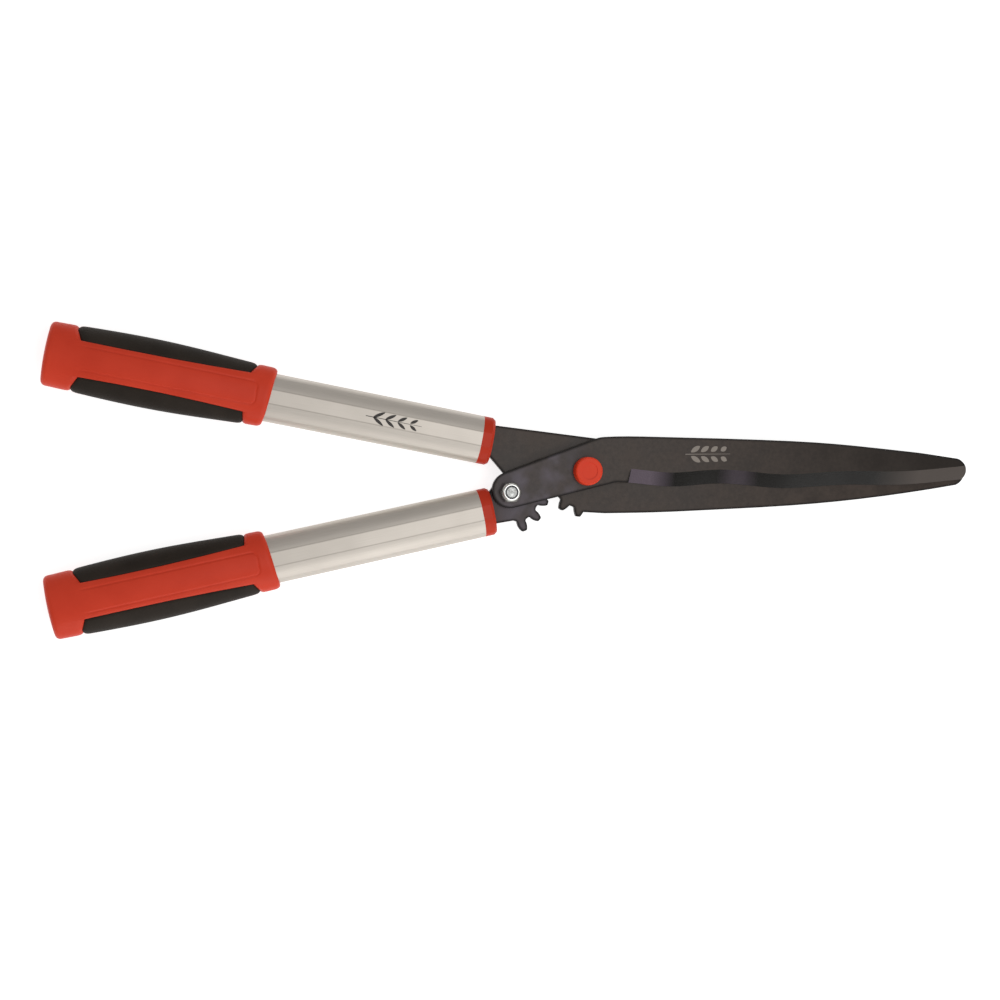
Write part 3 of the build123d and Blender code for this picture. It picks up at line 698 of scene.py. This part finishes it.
def grip_rubber(side_name, side, body, which):
    """One soft pad: a crowned skin with rounded edges that go down into its pocket."""
    zone = 0 if which == "outer" else 2
    rows = []
    for i in range(-1, RUBBER_ROWS + 2):
        part = min(max(i / RUBBER_ROWS, 0), 1)
        row = []
        for j in range(-1, RUBBER_COLUMNS + 2):
            share = min(max(j / RUBBER_COLUMNS, 0), 1)
            nominal = nominal_place(zone, share)
            start = pad_line(nominal, True) + PAD_SEAM
            end = pad_line(nominal, False) - PAD_SEAM
            t = (1 - part) * start + part * end
            low = zone_angle(zone, 0, t) + PAD_SIDE_GAP
            high = zone_angle(zone, 1, t) - PAD_SIDE_GAP
            angle = low + share * (high - low)
            if i in (-1, RUBBER_ROWS + 1) or j in (-1, RUBBER_COLUMNS + 1):
                depth = PAD_SKIRT
            else:
                across = min(share, 1 - share) * 44
                lengthwise = min(part, 1 - part) * 108
                depth = falloff(across, *PAD_SIDE_EDGE) + falloff(lengthwise, *PAD_END_EDGE) - PAD_PROUD
            row.append(grip_point(t, angle, depth, side))
        rows.append(row)
    count = RUBBER_COLUMNS + 3
    vertices = [point for row in rows for point in row]
    faces = grid_faces(len(rows), count, False)
    back = [len(vertices) + k for k in range(len(rows))]
    vertices += [row[0].lerp(row[-1], 0.5) for row in rows]
    for i in range(len(rows) - 1):
        faces.append((i * count, back[i], back[i + 1], (i + 1) * count))
        faces.append((back[i], i * count + count - 1, (i + 1) * count + count - 1, back[i + 1]))
    piece = mesh_piece(f"{side_name}_grip_{which}_rubber", vertices, faces, RUBBER, body, 60)
    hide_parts(f"{side_name}_grip_{which}_pad")


def leaf_outline(centre, length, width, turn):
    """A pointed leaf about a centre, as points."""
    points = []
    for k in range(24):
        angle = 2 * pi * k / 24
        x = 0.5 * length * cos(angle)
        y = 0.5 * width * sin(angle) * abs(sin(angle)) ** 0.6
        points.append((centre[0] + x * cos(turn) - y * sin(turn), centre[1] + x * sin(turn) + y * cos(turn)))
    return points


def sprig(length, width):
    """A plain leaf sprig: a stem and pairs of leaves, as outlines in its own plane."""
    outlines = [[(-length / 2, -0.25), (length / 2, -0.12), (length / 2, 0.12), (-length / 2, 0.25)]]
    for k in range(4):
        place = -0.36 * length + 0.22 * length * k
        size = 0.24 * length * (1 - 0.12 * k)
        for way in (1, -1):
            centre = (place + 0.36 * size, way * 0.25 * width)
            outlines.append(leaf_outline(centre, size, 0.24 * width, way * radians(32)))
    return outlines


def printed_mark(name, outlines, place, material, body):
    """Thin ink shapes laid on a surface; place turns a flat point and a height into the model's frame."""
    vertices, faces = [], []
    for outline in outlines:
        start = len(vertices)
        count = len(outline)
        vertices += [place(x, y, 0.0) for x, y in outline]
        vertices += [place(x, y, INK_THICKNESS) for x, y in outline]
        faces.append(tuple(start + k for k in reversed(range(count))))
        faces.append(tuple(start + count + k for k in range(count)))
        for k in range(count):
            n = (k + 1) % count
            faces.append((start + k, start + n, start + count + n, start + count + k))
    mesh_piece(name, vertices, faces, material, body)


for side_name, side, body in (("upper", 1, "rear_half"), ("lower", -1, "lever_half")):
    grip_body(side_name, side, body)
    grip_rubber(side_name, side, body, "outer")
    grip_rubber(side_name, side, body, "inner")


def on_tube(x, y, z):
    return handle_place(TUBE_MARK_T - x, y, TUBE_HALF_T + z, 1)


def on_blade(x, y, z):
    return Vector((BLADE_MARK_AT[0] + x, BLADE_MARK_AT[1] + y, BLADE_FACE_Z + z)) * MM


printed_mark("upper_tube_leaf_mark", sprig(*TUBE_MARK), on_tube,
             printed_ink("dark_ink", DARK_INK), "rear_half")
printed_mark("blade_leaf_mark", sprig(*BLADE_MARK), on_blade,
             printed_ink("grey_ink", GREY_INK), "front_half")


# ---- floor, light and camera ---------------------------------------------------------------

def studio_floor():
    mesh = bpy.data.meshes.new("studio_floor")
    corners = [(x * FLOOR_HALF, y * FLOOR_HALF, FLOOR_Z) for x, y in ((-1, -1), (1, -1), (1, 1), (-1, 1))]
    mesh.from_pydata(corners, [], [(0, 1, 2, 3)])
    mesh.materials.append(PAPER)
    floor = bpy.data.objects.new("studio_floor", mesh)
    bpy.context.scene.collection.objects.link(floor)


def area_light(name, place, target, size, energy):
    light = bpy.data.lights.new(name, "AREA")
    light.shape = "RECTANGLE"
    light.size, light.size_y = size
    light.energy = energy
    lamp = bpy.data.objects.new(name, light)
    lamp.location = place
    lamp.rotation_euler = (Vector(target) - Vector(place)).to_track_quat("-Z", "Y").to_euler()
    bpy.context.scene.collection.objects.link(lamp)


def soft_world(strength):
    world = bpy.data.worlds.new("soft_world")
    world.use_nodes = True
    background = world.node_tree.nodes["Background"]
    background.inputs["Color"].default_value = (1.0, 0.99, 0.98, 1)
    background.inputs["Strength"].default_value = strength
    bpy.context.scene.world = world


CAMERA_TARGET = Vector((-24.26, -16.2, 15.75)) * MM
CAMERA_DISTANCE = 1.0
CAMERA_LEAN = radians(12.3)
CAMERA_ROLL = radians(0.73)
CAMERA_LENS = 52.94


def photo_camera():
    """Looks down at the tool, leaning back towards the grips."""
    along = Vector((cos(CAMERA_ROLL), -sin(CAMERA_ROLL), 0))
    up = Vector((sin(CAMERA_ROLL), cos(CAMERA_ROLL), 0))
    backwards = along * -sin(CAMERA_LEAN) + Vector((0, 0, cos(CAMERA_LEAN)))
    right = up.cross(backwards)
    turn = Matrix((right, up, backwards)).transposed().to_4x4()
    lens = bpy.data.cameras.new("photo_camera")
    lens.lens = CAMERA_LENS
    lens.sensor_width = 36
    camera = bpy.data.objects.new("photo_camera", lens)
    camera.matrix_world = Matrix.Translation(CAMERA_TARGET + backwards * CAMERA_DISTANCE) @ turn
    bpy.context.scene.collection.objects.link(camera)
    bpy.context.scene.camera = camera


studio_floor()
soft_world(WORLD_STRENGTH)
area_light("key_softbox", (0.5, -1.2, 0.78), (0, 0, 0), (2.2, 1.0), 10.0)
area_light("top_softbox", (0.3, 0.0, 1.35), (0, 0, 0), (0.9, 0.7), 4)
photo_camera()
bpy.context.scene.view_settings.view_transform = "Standard"
